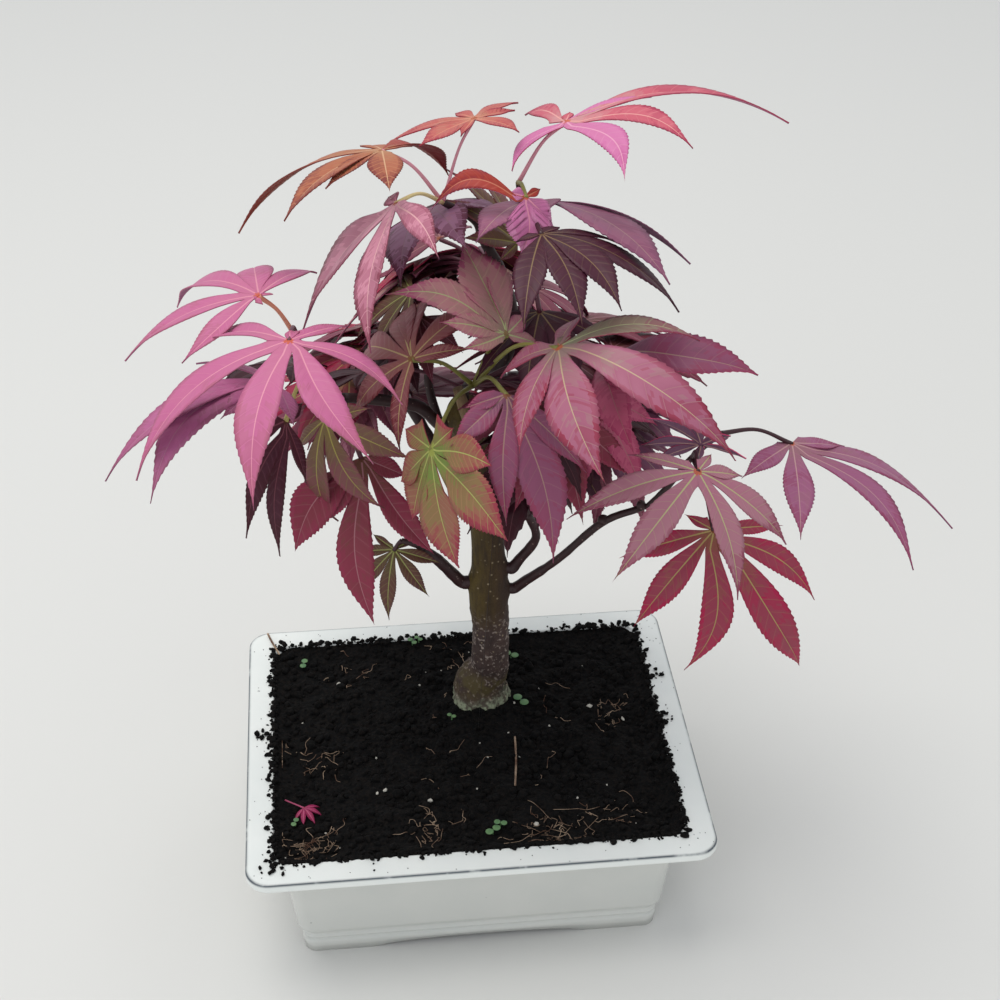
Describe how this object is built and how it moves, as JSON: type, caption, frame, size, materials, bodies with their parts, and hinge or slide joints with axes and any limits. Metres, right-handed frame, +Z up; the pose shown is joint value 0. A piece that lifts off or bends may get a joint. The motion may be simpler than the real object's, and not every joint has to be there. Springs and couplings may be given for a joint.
{
  "type": "potted maple bonsai",
  "caption": "Small red-leaved maple bonsai with hand-shaped leaves in a low white glazed rectangular pot.",
  "frame": {"origin": "middle of the pot's flat underside, on the surface that it stands on", "axes": "+Z up along the trunk, +X along the pot's long side to the viewer's right, -Y towards the viewer"},
  "size_m": [0.3065, 0.2071, 0.3317],
  "materials": {
    "glaze": "white glaze, slightly worn at the rim",
    "soil": "moist crumbly potting soil",
    "bark": "olive-brown bark with pale lenticels",
    "bough_bark": "smooth dark red-brown young bark",
    "cut_wood": "dry pruned stub",
    "leaf_pink": "soft matt leaf, pink",
    "leaf_mauve": "soft matt leaf, mauve",
    "leaf_maroon": "soft matt leaf, maroon",
    "leaf_rust": "soft matt leaf, rust red",
    "leaf_green": "soft matt leaf, bronze green",
    "leaf_dark": "soft matt leaf, shaded dark maroon"
  },
  "bodies": {
    "root": {"pot": "glaze", "soil": "soil", "trunk": "bark", "cut_stub": "cut_wood", "leader": "bough_bark", "bough_left": "bough_bark", "bough_left_low": "bough_bark", "bough_right_long": "bough_bark", "bough_right_steep": "bough_bark", "bough_back_left": "bough_bark", "bough_back_right": "bough_bark", "foliage_left": "leaf_pink", "foliage_left_low": "leaf_green", "foliage_front": "leaf_mauve", "foliage_top_left": "leaf_rust", "foliage_top_right": "leaf_pink", "foliage_right": "leaf_maroon", "foliage_inner_right": "leaf_dark", "foliage_inner_left": "leaf_dark", "foliage_back_left": "leaf_maroon", "foliage_back_right": "leaf_mauve", "foliage_back_top": "leaf_maroon"}
  },
  "joints": []
}
